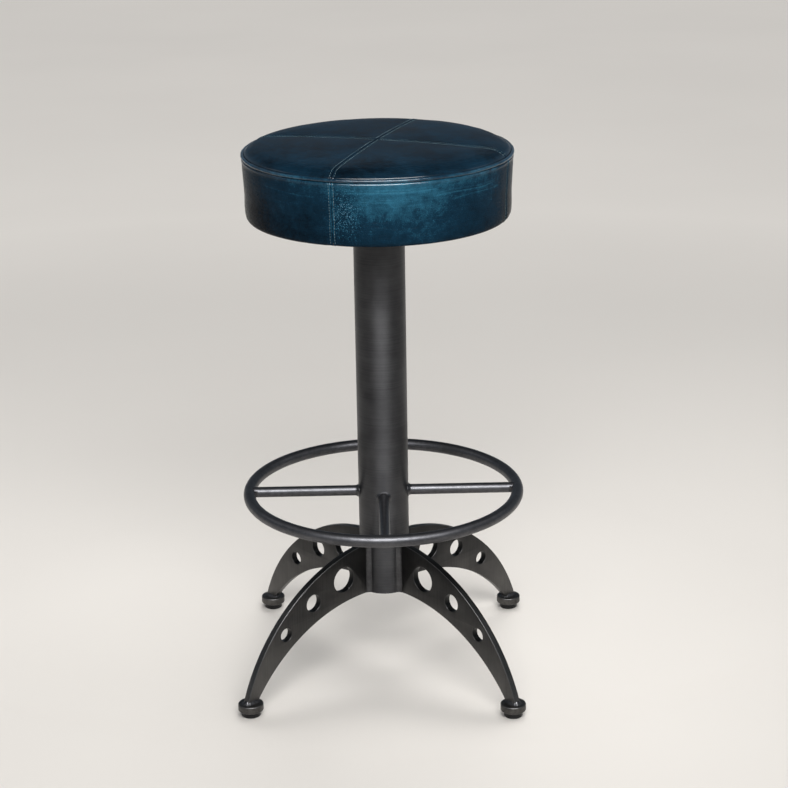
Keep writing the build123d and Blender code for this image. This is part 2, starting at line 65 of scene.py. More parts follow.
MM = 0.001
DIAGONALS = {"back_right": 45, "back_left": 135, "front_left": 225, "front_right": 315}


def shown(name, data):
    """A new object in the scene."""
    made = bpy.data.objects.new(name, data)
    scene.collection.objects.link(made)
    return made


print("nodes in the frame:", len(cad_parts))

# %% [markdown]
# The camera stands where the photograph was taken from: three metres off, nearly twice as high as
# the seat, with a long lens. A view like this can be found by eye. Here it was fitted instead, to the
# ellipses of the seat and the footrest, so that the render can be laid over the photograph.

# %% Camera
CAMERA_PLACE = (0.1251, -2.9129, 1.4068)
CAMERA_HEADING = 2.112
CAMERA_PITCH = 18.734
CAMERA_ROLL = -0.939
CAMERA_LENS = 97.58

camera = shown("camera", bpy.data.cameras.new("camera"))
camera.data.lens = CAMERA_LENS
heading = Matrix.Rotation(radians(CAMERA_HEADING), 4, "Z")
pitch = Matrix.Rotation(radians(90 - CAMERA_PITCH), 4, "X")
roll = Matrix.Rotation(radians(CAMERA_ROLL), 4, "Z")
camera.matrix_world = Matrix.Translation(CAMERA_PLACE) @ heading @ pitch @ roll
scene.camera = camera
scene.view_settings.view_transform = "Standard"
seat_middle = Vector((0, 0, cad_box[1][2]))
print("camera to seat, metres:", round((Vector(CAMERA_PLACE) - seat_middle).length, 3))

# %% [markdown]
# Small helpers for finishes. Materials can be drawn by hand in the node editor. In a script, each
# node is one call that names its sockets, so a finish reads from top to bottom like a recipe.

# %% Helpers for finishes


def put(tree, kind, sockets=None, **settings):
    """Adds a node: settings are its own properties, sockets are values or links for its inputs."""
    made = tree.nodes.new(kind if kind.startswith("NodeGroup") else "ShaderNode" + kind)
    for name, value in settings.items():
        setattr(made, name, value)
    for name, value in (sockets or {}).items():
        if isinstance(value, bpy.types.NodeSocket):
            tree.links.new(value, made.inputs[name])
        else:
            made.inputs[name].default_value = value
    return made


def math(tree, operation, *values):
    """One step of arithmetic on values or sockets."""
    return put(tree, "Math", dict(enumerate(values)), operation=operation).outputs[0]


def ramp(tree, mask, *stops):
    """A mask turned into colour: each stop is a place from 0 to 1 and a colour."""
    made = put(tree, "ValToRGB", {"Fac": mask})
    elements = made.color_ramp.elements
    for _ in stops[2:]:
        elements.new(1.0)
    for element, (place, colour) in zip(elements, stops):
        element.position = place
        element.color = (*colour, 1.0)
    return made.outputs["Color"]


def remap(tree, value, start=0.0, end=1.0, low=0.0, high=1.0):
    """A value that goes from start to end turned into one that goes from low to high and stops there."""
    limits = {"Value": value, "From Min": start, "From Max": end, "To Min": low, "To Max": high}
    return put(tree, "MapRange", limits).outputs["Result"]


def blend(tree, mask, below, above):
    """Two colours mixed by a mask: the first where it is 0, the second where it is 1."""
    return put(tree, "Mix", {0: mask, 6: below, 7: above}, data_type="RGBA").outputs[2]


def object_place(tree):
    """The point on the surface, in metres, in the stool's own frame."""
    return put(tree, "TexCoord").outputs["Object"]


def stretched(tree, scale):
    """The point with each axis scaled, which draws a pattern out along the axes scaled least."""
    return put(tree, "Mapping", {"Vector": object_place(tree), "Scale": scale}).outputs["Vector"]


def noise(tree, scale, detail=2.0, roughness=0.5, place=None):
    """A cloudy mask: scale is its waves per metre, unless it is given a place that is scaled already."""
    place = object_place(tree) if place is None else place
    sockets = {"Vector": place, "Scale": scale, "Detail": detail, "Roughness": roughness}
    return put(tree, "TexNoise", sockets).outputs["Fac"]


def kept(tree, name):
    """A value that the points of a piece keep."""
    return put(tree, "Attribute", attribute_name=name).outputs["Fac"]


def socket_name(word):
    """The shader's own name for a socket: base_color is Base Color."""
    return word.replace("_", " ").title().replace("Ior", "IOR")


def finish(name, **plain):
    """A new material: its tree and its shader, with the values that are the same all over."""
    material = bpy.data.materials.new(name)
    material.use_nodes = True
    shader = material.node_tree.nodes["Principled BSDF"]
    for word, value in plain.items():
        shader.inputs[socket_name(word)].default_value = value
    return material, material.node_tree, shader


def feed(shader, **links):
    """Links what changes over the surface to the shader's sockets."""
    for word, socket in links.items():
        shader.id_data.links.new(socket, shader.inputs[socket_name(word)])


def group(name, inputs, outputs):
    """A new node group: its tree, the sockets to read from and the sockets to fill."""
    tree = bpy.data.node_groups.new(name, "ShaderNodeTree")
    for label, value in inputs.items():
        kind = "NodeSocketVector" if isinstance(value, tuple) else "NodeSocketFloat"
        tree.interface.new_socket(label, in_out="INPUT", socket_type=kind).default_value = value
    for label in outputs:
        tree.interface.new_socket(label, in_out="OUTPUT", socket_type="NodeSocketFloat")
    return tree, put(tree, "NodeGroupInput").outputs, put(tree, "NodeGroupOutput").inputs


def use(tree, shared, sockets=None):
    """A node group placed in a material, with its own values."""
    return put(tree, "Group", sockets, node_tree=shared).outputs


def bumped(tree, shader, height, depth):
    """Raises the surface by a height map: depth is in metres."""
    bump = put(tree, "Bump", {"Height": height, "Distance": depth, "Strength": 1.0})
    feed(shader, normal=bump.outputs["Normal"])


def dress(material, *nodes):
    """Gives CAD nodes a finish."""
    for node in nodes:
        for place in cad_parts[node].material_slots:
            place.material = material


# %% [markdown]
# The floor is one large plain sheet, pale enough to show the stool's dark outline. Its far part
# glows a little for the eye and for mirrors, as a paper backdrop would, but sheds no light on the
# stool. The light is a studio's: a large soft box high in front, a long strip below it that only
# shows as a highlight on the ring and the rim of the seat, a dim box on each side for the edges of
# the legs, and two lamps, behind and overhead, that only light what is matt. The walls of the room
# are a dim blue grey, as the flat top of the seat shows, and its ceiling is darker.

# %% Floor and light
FLOOR_COLOUR = (0.68, 0.645, 0.60)
FLOOR_SHADE = 0.96
FLOOR_SIZE = 30.0
GLOW = 0.45
GLOW_START, GLOW_FULL = 0.7, 2.8
WALL_COLOUR, CEILING_COLOUR = (0.15, 0.18, 0.215), (0.030, 0.033, 0.038)
WALL_END, CEILING_START = 0.46, 0.60

floor_mesh = bpy.data.meshes.new("floor")
corner = FLOOR_SIZE / 2
floor_corners = [(-corner, -corner, 0), (corner, -corner, 0), (corner, corner, 0), (-corner, corner, 0)]
floor_mesh.from_pydata(floor_corners, [], [(0, 1, 2, 3)])
floor = shown("floor", floor_mesh)

floor_paint, tree, shader = finish("floor_paint", roughness=0.75, emission_strength=GLOW)
shaded = tuple(FLOOR_SHADE * c for c in FLOOR_COLOUR)
floor_tone = ramp(tree, noise(tree, 0.8, 3.0), (0.3, shaded), (0.7, FLOOR_COLOUR))
far = put(tree, "VectorMath", {0: object_place(tree)}, operation="LENGTH").outputs["Value"]
far = remap(tree, far, GLOW_START, GLOW_FULL)
rays = put(tree, "LightPath").outputs
seen = math(tree, "MAXIMUM", rays["Is Glossy Ray"], rays["Is Transmission Ray"])
seen = math(tree, "MULTIPLY", far, math(tree, "MAXIMUM", rays["Is Camera Ray"], seen))
feed(shader, base_color=floor_tone, emission_color=blend(tree, seen, (0, 0, 0, 1), floor_tone))
floor_mesh.materials.append(floor_paint)


def soft_box(name, place, target, size, power, cone):
    """A rectangular lamp at a place, turned to a target. Its light keeps within a cone in degrees."""
    lamp = bpy.data.lights.new(name, "AREA")
    lamp.shape = "RECTANGLE"
    lamp.size, lamp.size_y = size
    lamp.energy = power
    lamp.spread = radians(cone)
    box = shown(name, lamp)
    aim = (Vector(target) - Vector(place)).to_track_quat("-Z", "Y")
    box.matrix_world = Matrix.Translation(place) @ aim.to_matrix().to_4x4()
    return box


soft_box("front_box", (0.30, -1.9, 2.1), (0, 0, 0.70), (2.4, 1.0), 22, 80)
strip = soft_box("front_strip", (0.15, -1.5, 1.9), (0, 0, 0.75), (2.4, 0.24), 18, 100)
strip.visible_diffuse = False
back = soft_box("back_box", (0.0, 1.7, 2.6), (0, 0, 0.55), (2.0, 1.0), 7, 80)
back.visible_glossy = False
for name, x in (("left_box", -2.0), ("right_box", 2.0)):
    soft_box(name, (x, 0.5, 1.9), (0, 0, 0.15), (1.2, 1.2), 0.4, 60)

overhead = shown("overhead", bpy.data.lights.new("overhead", "SUN"))
overhead.data.energy = 1.3
overhead.data.angle = radians(50)
overhead.matrix_world = Matrix.Rotation(radians(18), 4, "Y") @ Matrix.Rotation(radians(-14), 4, "X")
overhead.visible_glossy = False

room = bpy.data.worlds.new("studio")
room.use_nodes = True
tree = room.node_tree
rise = put(tree, "SeparateXYZ", {"Vector": put(tree, "TexCoord").outputs["Generated"]}).outputs["Z"]
walls = ramp(tree, rise, (WALL_END, WALL_COLOUR), (CEILING_START, CEILING_COLOUR))
tree.links.new(walls, tree.nodes["Background"].inputs["Color"])
scene.world = room

# %% [markdown]
# Every new surface is a grid of points, so one helper turns a grid into a mesh. Rows run from the
# start of a profile to its end, and columns run round the piece or along it.

# %% From a grid to a mesh


def grid_faces(rows, columns):
    """Four corners for every cell of a closed grid, whose last column joins its first."""
    row = np.arange(rows - 1)[:, None] * columns
    column = np.arange(columns)[None, :]
    beside = (column + 1) % columns
    corners = [row + column, row + columns + column, row + columns + beside, row + beside]
    return np.stack(corners, axis=-1).reshape(-1, 4)


def keep(mesh, name, values):
    """Keeps one value for every point of a mesh, for a finish to read."""
    attribute = mesh.attributes.new(name, "FLOAT", "POINT")
    attribute.data.foreach_set("value", values.astype(np.float32).reshape(-1))


def piece(name, points, caps=(), **attributes):
    """A smooth mesh from a grid of points in metres, shaped (rows, columns, 3), or from many alike,
    shaped (copies, rows, columns, 3). caps may hold "start" and "end": that row's ring is closed by a
    fan to its middle. Each attribute is a value for every point of the grid."""
    rows, columns = points.shape[-3:-1]
    ring = np.arange(columns)
    beside = np.roll(ring, -1)
    ends = [0 if cap == "start" else rows - 1 for cap in caps]
    corners = [grid_faces(rows, columns)]
    for middle, row in enumerate(ends, rows * columns):
        first, second = (ring, beside) if row == 0 else (beside, ring)
        fan = [row * columns + first, row * columns + second, np.full(columns, middle)]
        corners.append(np.stack(fan, -1))

    def with_caps(field):
        """A field of the grid, one row for each copy, with the mean of each capped ring added."""
        field = field.reshape(-1, rows, columns, field.shape[-1])
        middles = [field[:, row].mean(axis=1)[:, None] for row in ends]
        return np.concatenate([field.reshape(len(field), rows * columns, -1), *middles], axis=1)

    places = with_caps(points)
    first = np.arange(places.shape[0])[:, None, None] * places.shape[1]
    faces = []
    for ring in corners:
        faces += (ring + first).reshape(-1, ring.shape[1]).tolist()
    mesh = bpy.data.meshes.new(name)
    mesh.from_pydata(places.reshape(-1, 3).tolist(), [], faces)
    mesh.shade_smooth()
    for label, value in attributes.items():
        keep(mesh, label, with_caps(value[..., None]))
    return shown(name, mesh)


def place_piece(made, material, slot, body, *nodes):
    """Gives a new piece its finish and its body, and hides the CAD nodes it stands for. Its slot is not
    used.
    """
    made.data.materials.append(material)
    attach(made, body)
    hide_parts(*nodes)


def about_axis(points, degrees):
    """Points turned about the upright axis."""
    turn = radians(degrees)
    x, y, z = np.moveaxis(points, -1, 0)
    return np.stack([x * np.cos(turn) - y * np.sin(turn), x * np.sin(turn) + y * np.cos(turn), z], -1)


# %% [markdown]
# Dark steel is never one even grey. Its wax and scale lie in clouds, its tool marks run one way,
# and its corners are rubbed bright. Each of these is a node group, so that every steel piece can
# use it with its own direction and its own amount. The column is brushed round its girth, which
# draws its highlight out up and down. The lower part of the legs is painted paler, as painted
# light from the floor.

# %% Shared effects on steel
MARK_DEPTH = 0.02 * MM
FLOOR_LIGHT_TOP, FLOOR_LIGHT_FULL = 150 * MM, 30 * MM
ROUGHNESS_SWING = 0.06
WORN_GREY = (0.12, 0.12, 0.122, 1.0)
DARK_SCALE = (0.02, 0.02, 0.02, 1.0)

scale_clouds, read, fill = group("scale_clouds", {"Size": 0.05}, ["Clouds"])
wide = noise(scale_clouds, math(scale_clouds, "DIVIDE", 1.0, read["Size"]), 5.0)
scale_clouds.links.new(wide, fill["Clouds"])

tool_marks, read, fill = group("tool_marks", {"Place": (0.0, 0.0, 0.0)}, ["Marks"])
tool_marks.links.new(noise(tool_marks, 1.0, 4.0, 0.7, read["Place"]), fill["Marks"])

edge_wear, read, fill = group("edge_wear", {"Edge": 0.0, "Amount": 0.5}, ["Worn"])
excess = math(edge_wear, "SUBTRACT", read["Amount"], 0.5)
worn = remap(edge_wear, math(edge_wear, "ADD", noise(edge_wear, 120.0, 4.0), excess), 0.25, 0.6)
edge_wear.links.new(math(edge_wear, "MULTIPLY", worn, read["Edge"]), fill["Worn"])


def steel(name, marks, dark, light, roughness, edge=False, floor_light=None, **drawn):
    """Dark waxed steel: clouds between two greys, tool marks along one direction, and where they
    are asked for, rubbed edges and a low part painted paler, as painted light from the floor."""
    material, tree, shader = finish(name, metallic=1.0, **drawn)
    clouds = use(tree, scale_clouds, {"Size": 0.05})["Clouds"]
    lines = use(tree, tool_marks, {"Place": marks(tree)})["Marks"]
    tone = math(tree, "MULTIPLY_ADD", lines, 0.4, math(tree, "MULTIPLY", clouds, 0.6))
    colour = ramp(tree, tone, (0.35, dark), (0.65, light))
    rough = remap(tree, tone, low=roughness + ROUGHNESS_SWING, high=roughness - ROUGHNESS_SWING)
    # Painted light: low on a piece the colour is painted paler in patches, as light from the floor would
    # show on it.
    if floor_light:
        level = put(tree, "SeparateXYZ", {"Vector": object_place(tree)}).outputs["Z"]
        patchy_floor_light = math(tree, "MULTIPLY", remap(tree, level, FLOOR_LIGHT_TOP, FLOOR_LIGHT_FULL), tone)
        colour = blend(tree, patchy_floor_light, colour, (*floor_light, 1.0))
    if edge:
        worn = use(tree, edge_wear, {"Edge": kept(tree, "edge"), "Amount": 0.75})["Worn"]
        colour = blend(tree, worn, colour, WORN_GREY)
        colour = blend(tree, kept(tree, "scaled"), colour, DARK_SCALE)
    feed(shader, base_color=colour, roughness=rough)
    bumped(tree, shader, lines, MARK_DEPTH)
    return material


def girth_marks(tree):
    """Marks that run round the column: fine up and down it, drawn out along X and Y."""
    return stretched(tree, (6.0, 6.0, 900.0))


def upright_marks(tree):
    """Marks that run up and down: fine along X and Y, drawn out along Z."""
    return stretched(tree, (700.0, 700.0, 12.0))


def loose_marks(tree):
    """Marks with no direction."""
    return stretched(tree, (160.0, 160.0, 160.0))


column_greys = (0.042, 0.042, 0.044), (0.085, 0.085, 0.088)
upright_sheen = {"anisotropic": 0.70, "anisotropic_rotation": 0.25}
column_steel = steel("brushed_column", girth_marks, *column_greys, 0.45, **upright_sheen)
bar_steel = steel("waxed_bar", loose_marks, (0.066, 0.066, 0.071), (0.115, 0.115, 0.122), 0.44)
weld_steel = steel("dressed_weld", loose_marks, (0.045, 0.045, 0.048), (0.100, 0.100, 0.104), 0.36)
plate_greys = (0.024, 0.024, 0.025), (0.050, 0.049, 0.048)
# A pale grey painted low on the legs: painted light from the floor.
painted_floor_light = (0.17, 0.165, 0.16)
plate_steel = steel("rubbed_plate", upright_marks, *plate_greys, 0.40, edge=True, floor_light=painted_floor_light)
collar_greys = (0.045, 0.043, 0.042), (0.12, 0.115, 0.11)
collar_steel = steel("rubbed_collar", loose_marks, *collar_greys, 0.46, edge=True)
dress(column_steel, "column_tube", "column_top_plate")
spokes = [f"footrest_spoke_{side}" for side in ("right", "back", "left", "front")]
dress(bar_steel, "footrest_ring", *spokes)
dress(weld_steel, "top_plate_weld", "leg_welds", "spoke_welds")
print("finishes so far:", [made.name for made in bpy.data.materials])

# %% [markdown]
# The seat is a foam drum on a board, covered in leather: four quarter panels on top, four side
# panels below, and a piping cord sewn between them. Its shape is a line of arcs turned about the
# axis. It could be lathed with a modifier, but a grid of points can also be swollen, sewn and
# creased later, point by point.

# %% Lines of the cover
SEAT_TURN = -16.8
CROWN_DROP = 4.5 * MM
SHOULDER_WIDTH = 20.0 * MM
PIPING_SEAT = 130.0
BAND_ROLL = 4.0 * MM
FOOT_ROLL = 6.0 * MM
FOOT_RADIUS = 186.0 * MM
HEM_WIDTH = 26.0 * MM
FOAM_EDGE = 15.0 * MM
COVER_INSET = 1.2 * MM
ROLL_INSET, ROLL_DROP = 1.5 * MM, 6.53 * MM
MIDDLE_ROWS, RIM_ROWS, ROLL_ROWS, SIDE_ROWS, HEM_ROWS = 58, 30, 14, 74, 9
FIRST_RING = 89.97

cord_low, cord_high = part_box("seat_piping")
cord_r = (cord_high.z - cord_low.z) / 2
cord_z = (cord_high.z + cord_low.z) / 2
core_r = cord_high.x - cord_r
seat_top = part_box("top_panel_front_left")[1].z
seat_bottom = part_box("side_panel_front_left")[0].z


def arc(centre, radius, start, end, count):
    """Points of a circle as (distance from the axis, height), between two angles from outwards."""
    angle = np.radians(np.linspace(start, end, count))
    return np.stack([centre[0] + radius * np.cos(angle), centre[1] + radius * np.sin(angle)], -1)


rim_r, rim_z = arc((core_r, cord_z), cord_r + 0.2 * MM, PIPING_SEAT, PIPING_SEAT, 1)[0]
shoulder_r, shoulder_z = rim_r - SHOULDER_WIDTH, seat_top - CROWN_DROP
crown_radius = (shoulder_r**2 + CROWN_DROP**2) / (2 * CROWN_DROP)
crown_bend = np.degrees(np.arcsin(shoulder_r / crown_radius))
rim_bend = np.degrees(np.arctan2(shoulder_z - rim_z, SHOULDER_WIDTH)) - crown_bend
rim_radius = np.hypot(shoulder_z - rim_z, SHOULDER_WIDTH) / (2 * np.sin(np.radians(rim_bend)))
rim_centre = arc((shoulder_r, shoulder_z), -rim_radius, 90 - crown_bend, 0, 2)[0]

rim_start = 90 - crown_bend
crown_middle = arc((0, seat_top - crown_radius), crown_radius, FIRST_RING, rim_start, MIDDLE_ROWS)
crown_rim = arc(rim_centre, rim_radius, rim_start, rim_start - 2 * rim_bend, RIM_ROWS)
crown_tuck = [(rim_r - 0.8 * MM, rim_z - 1.1 * MM), (rim_r - 1.2 * MM, rim_z - 2.3 * MM)]
crown_line = np.concatenate([crown_middle, crown_rim[1:], crown_tuck])

roll_centre = (core_r - ROLL_INSET, cord_z - ROLL_DROP)
foot_centre = (FOOT_RADIUS - FOOT_ROLL, seat_bottom + FOOT_ROLL)
band_run = np.subtract(foot_centre, roll_centre)
taper = np.arcsin((BAND_ROLL - FOOT_ROLL) / np.hypot(*band_run))
band_lean = np.degrees(taper - np.arctan2(band_run[0], -band_run[1]))
band_roll = arc(roll_centre, BAND_ROLL, 100, -band_lean, ROLL_ROWS)
band_foot = arc(foot_centre, FOOT_ROLL, -band_lean, -90, ROLL_ROWS)
band_side = np.linspace(band_roll[-1], band_foot[0], SIDE_ROWS)
band_hem = np.linspace(band_foot[-1], band_foot[-1] - (HEM_WIDTH, 0), HEM_ROWS)
band_tuck = [(rim_r - 1.2 * MM, cord_z - 0.5 * MM), (rim_r - 0.9 * MM, cord_z - 1.6 * MM)]
band_line = np.concatenate([band_tuck, band_roll, band_side[1:-1], band_foot, band_hem[1:]])
print("rows of the crown and the band:", len(crown_line), len(band_line))

# %% [markdown]
# The columns of the grid stand close together at the four seams, where the leather dips and rises
# within a millimetre, and wide apart in the middle of a panel, where it is smooth.

# %% Columns round the seat
quarter = np.pi / 2 * core_r
near_seam = np.concatenate([np.arange(0, 8, 0.5), np.arange(8, 16, 1.0)]) * MM
open_leather = np.linspace(16 * MM, quarter / 2, 34)[1:]
half_panel = np.concatenate([near_seam, open_leather])
panel = np.concatenate([half_panel, quarter - half_panel[-2:0:-1]])
seams = radians(SEAT_TURN) + np.pi / 2 * np.arange(4)
columns = (seams[:, None] + panel / core_r).reshape(-1)
print("columns round the seat:", len(columns))


def turned(line, angles):
    """A line of (distance, height) carried round the axis: x = r cos a, y = r sin a, z = height."""
    r, z = line[:, :1], line[:, 1:]
    x, y = r * np.cos(angles), r * np.sin(angles)
    return np.stack([x, y, np.broadcast_to(z, x.shape)], -1)


def outward(points):
    """The direction out of a closed grid: the step along its rows crossed with the step round it."""
    out = np.cross(np.gradient(points, axis=0), np.roll(points, -1, 1) - np.roll(points, 1, 1))
    return out / np.linalg.norm(out, axis=-1, keepdims=True)


def sunk(points):
    """A grid moved inwards where foam backs it, so that the filling can swell it back."""
    over_foam = np.clip((points[..., 2:] - board_top) / FOAM_EDGE, 0, 1)
    return points - COVER_INSET * over_foam * outward(points)


board_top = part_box("seat_board")[1].z
crown_base = sunk(turned(crown_line, columns))
band_base = sunk(turned(band_line, columns))

# %% [markdown]
# Leather over foam is tight at its seams and swells between them. It could be sculpted, but a
# cloth simulation finds that shape by itself: the closed form is remeshed evenly, its seams, its
# piping and its underside are pinned, and a little pressure blows it up for twenty frames.

# %% The filling swells the cover
VOXEL = 5.0 * MM
PRESSURE = 4.0
FRAMES = 20
SWELL_CAP = 5.0 * MM
SEAM_PIN = 5.0 * MM
PIPING_PIN = 7.0 * MM


def seam_distance(points):
    """The distance from the nearest seam: the lesser of X and Y, turned so that the seams lie along them."""
    straight = about_axis(points, -SEAT_TURN)
    return np.minimum(np.abs(straight[..., 0]), np.abs(straight[..., 1]))


def vertices(mesh):
    """All the points of a mesh as one array."""
    places = np.empty(3 * len(mesh.vertices), np.float32)
    mesh.vertices.foreach_get("co", places)
    return places.reshape(-1, 3).astype(float)


def settled(made):
    """A copy of a piece's mesh with its modifiers carried out."""
    return bpy.data.meshes.new_from_object(made.evaluated_get(bpy.context.evaluated_depsgraph_get()))


def swollen_form():
    """The closed cover, remeshed and blown up by the cloth simulation, with its travel capped."""
    whole = np.concatenate([crown_base[:-2], band_base[2:]])
    form = piece("filling", whole, caps=("start", "end"))
    remesh = form.modifiers.new("even", "REMESH")
    remesh.mode = "VOXEL"
    remesh.voxel_size = VOXEL
    form.data = settled(form)
    form.modifiers.clear()
    start = vertices(form.data)
    reach = np.hypot(np.hypot(start[:, 0], start[:, 1]) - core_r, start[:, 2] - cord_z)
    held = (seam_distance(start) < SEAM_PIN) | (reach < PIPING_PIN) | (start[:, 2] < board_top)
    pins = form.vertex_groups.new(name="sewn")
    pins.add(np.flatnonzero(held).tolist(), 1.0, "REPLACE")
    cloth = form.modifiers.new("leather", "CLOTH")
    cloth.settings.vertex_group_mass = pins.name
    cloth.settings.quality = 6
    cloth.settings.mass = 0.4
    cloth.settings.tension_stiffness = 25
    cloth.settings.compression_stiffness = 25
    cloth.settings.bending_stiffness = 2
    cloth.settings.use_pressure = True
    cloth.settings.uniform_pressure_force = PRESSURE
    cloth.settings.effector_weights.gravity = 0
    for step in range(1, FRAMES + 1):
        scene.frame_set(step)
    travel = vertices(settled(form)) - start
    scene.frame_set(1)
    form.modifiers.clear()
    length = np.linalg.norm(travel, axis=1, keepdims=True)
    capped = travel * np.tanh(length / SWELL_CAP) * SWELL_CAP / np.maximum(length, 1e-9)
    form.data.vertices.foreach_set("co", (start + capped).astype(np.float32).reshape(-1))
    form.data.update()
    print("swell in mm, mean and most:", *np.round(1000 * np.array([length.mean(), length.max()]), 2))
    return form


def even(field, rounds):
    """A field on a closed grid with each value moved to the mean of itself and its neighbours."""
    for _ in range(rounds):
        ends = np.pad(field, ((1, 1), (0, 0)), mode="edge")
        field = (ends[:-2] + 2 * field + ends[2:]) / 4
        field = (np.roll(field, 1, 1) + 2 * field + np.roll(field, -1, 1)) / 4
    return field


def swell_of(base, form):
    """How far the swollen form stands out from each point of a grid, along the grid's direction.
    Beside the piping the leather is sewn down, and keeps its own line."""
    probe = piece("probe", base)
    wrap = probe.modifiers.new("wrap", "SHRINKWRAP")
    wrap.target = form
    wrap.wrap_method = "PROJECT"
    wrap.use_negative_direction = True
    wrap.use_positive_direction = True
    wrap.project_limit = 3 * SWELL_CAP
    moved = vertices(settled(probe)).reshape(base.shape)
    bpy.data.objects.remove(probe)
    swell = even(np.sum((moved - base) * outward(base), axis=-1), 3)
    reach = np.hypot(np.hypot(base[..., 0], base[..., 1]) - core_r, base[..., 2] - cord_z)
    sewn = np.clip(1.6 - reach / PIPING_PIN, 0, 1)
    return swell * (1 - sewn) + COVER_INSET * sewn


def print_range(label, field):
    """Prints the least and the most of a field in millimetres."""
    print(label, "in mm:", round(1000 * field.min(), 2), "to", round(1000 * field.max(), 2))


filling = swollen_form()
filling.modifiers.new("smooth", "SUBSURF")
crown_swell = swell_of(crown_base, filling)
band_swell = swell_of(band_base, filling)
bpy.data.objects.remove(filling)
print_range("swell on the crown", crown_swell)
print_range("swell on the band", band_swell)

# %% [markdown]
# Seams come after the swelling, because the remesh rubs out anything finer than a voxel. Each
# panel's edge turns down into the seam, rides up over its folded allowance, and is held down
# again by a row of topstitching on either side.

# %% Seams and creases
STITCH_ROW = 3.3 * MM
PUCKER_DEPTH, PUCKER_PITCH = 0.22 * MM, 5.2 * MM
CREASES = (
    (-104, -62, 74, 0.06, 0.7, 0.50, 1.1),
    (-101, -78, 63, -0.05, 0.5, 0.35, 0.9),
    (-66, -30, 66, 0.12, 1.6, 0.55, 1.2),
    (-58, -24, 58, 0.20, 1.9, 0.45, 1.1),
    (-150, -112, 70, -0.07, 0.8, 0.35, 1.0),
    (-140, -116, 52, 0.18, 0.4, 0.25, 0.8),
    (-10, 48, 68, 0.04, 1.2, 0.45, 1.1),
    (20, 66, 56, -0.08, 1.4, 0.40, 1.0),
    (80, 128, 71, 0.02, 1.1, 0.45, 1.1),
    (100, 156, 60, 0.07, 1.5, 0.40, 1.0),
    (168, 214, 69, -0.03, 1.2, 0.45, 1.1),
    (176, 206, 55, 0.09, 0.9, 0.35, 0.9),
)


def bell(distance, width):
    """A smooth rise to 1 at distance 0, falling away within a width."""
    return np.exp(-0.5 * (distance / width) ** 2)


def seam_relief(distance):
    """Height of the leather beside a seam: a broad dip, a groove, a ridge and a line of stitches."""
    dip = -0.45 * np.exp(-distance / (9 * MM))
    groove = -0.55 * bell(distance, 0.4 * MM)
    ridge = 0.45 * bell(distance - 1.7 * MM, 0.9 * MM)
    stitches = -0.3 * bell(distance - STITCH_ROW, 0.55 * MM)
    return (dip + groove + ridge + stitches) * MM


def seam_angle(angles):
    """Each column's signed angle from the nearest seam."""
    turn = angles - radians(SEAT_TURN)
    return turn - np.pi / 2 * np.round(turn / (np.pi / 2))


crown_seam = seam_distance(crown_base)
crown = crown_base + (crown_swell + seam_relief(crown_seam))[..., None] * outward(crown_base)

band_seam = np.abs(seam_angle(columns)) * core_r + 0 * band_swell
height = np.broadcast_to(band_line[:, 1:], band_swell.shape)
facing = np.broadcast_to(columns, band_swell.shape)


def crease(start, end, level, slope, wave, depth, width):
    """A crease in the band: a wavy line between two angles in degrees, given by its level in mm
    above the underside, its rise in mm per degree, its wave and its depth and width in mm."""
    degree = (np.degrees(facing) - start + 180) % 360 - 180
    line = seat_bottom + (level + slope * degree + wave * np.sin(degree / 6.0)) * MM
    fade = np.clip(degree / 5, 0, 1) * np.clip((end - start - degree) / 5, 0, 1)
    across = height - line
    return depth * MM * fade * (0.6 * bell(across - 1.5 * width * MM, width * MM) - bell(across, width * MM))


creases = sum(crease(*line) for line in CREASES)
puckers = PUCKER_DEPTH * np.sin(height / PUCKER_PITCH * 2 * np.pi) * bell(band_seam - 6 * MM, 3 * MM)
on_side = (height < cord_z - 4 * MM) & (height > seat_bottom + 2 * MM)
relief = seam_relief(band_seam) + np.where(on_side, creases + puckers, 0)
band = band_base + (band_swell + relief)[..., None] * outward(band_base)
print_range("relief on the band", relief)

# %% [markdown]
# The leather is dyed by hand, dark over bright, and rubbed back where it stands proud. So its
# colour is a tone from near black to teal: clouds of dye, plus a value kept on every point that
# says how far the hand has rubbed there, minus the dark that gathers in the seams. On the band that
# value also holds painted light: the side that faces the lamps in front is painted lighter, and the
# value grows towards the top of the band. Where the grain is coarse, beside the front seam, its
# tops are painted pale, as painted glints.

# %% Leather
BLACK, DEEP = (0.0014, 0.0036, 0.0065), (0.0045, 0.022, 0.041)
# The palest colour is a painted glint, for the tops of coarse grain.
TEAL, GLINT_PALE = (0.024, 0.115, 0.180), (0.22, 0.33, 0.42)
DEEP_TONE, TEAL_TONE, GLINT_TONE = 0.55, 1.0, 2.0
GLINT_START, GLINT_FULL = 0.36, 0.72
BIG_DYE, SMALL_DYE = 0.9, 0.6

leather_grain, read, fill = group("leather_grain", {"Cell": 0.0020}, ["Grain", "Lines"])
fineness = math(leather_grain, "DIVIDE", 1.0, read["Cell"])
sockets = {"Vector": object_place(leather_grain), "Scale": fineness}
cells = put(leather_grain, "TexVoronoi", sockets, feature="DISTANCE_TO_EDGE")
pebble = remap(leather_grain, cells.outputs["Distance"], end=0.35)
soft = noise(leather_grain, 320.0, 3.0)
leather_grain.links.new(math(leather_grain, "MULTIPLY", pebble, soft), fill["Grain"])
drawn = noise(leather_grain, 1.0, place=stretched(leather_grain, (14.0, 14.0, 190.0)))
ridge = math(leather_grain, "ABSOLUTE", math(leather_grain, "SUBTRACT", drawn, 0.5))
leather_grain.links.new(remap(leather_grain, ridge, 0.0, 0.03, 1.0, 0.0), fill["Lines"])

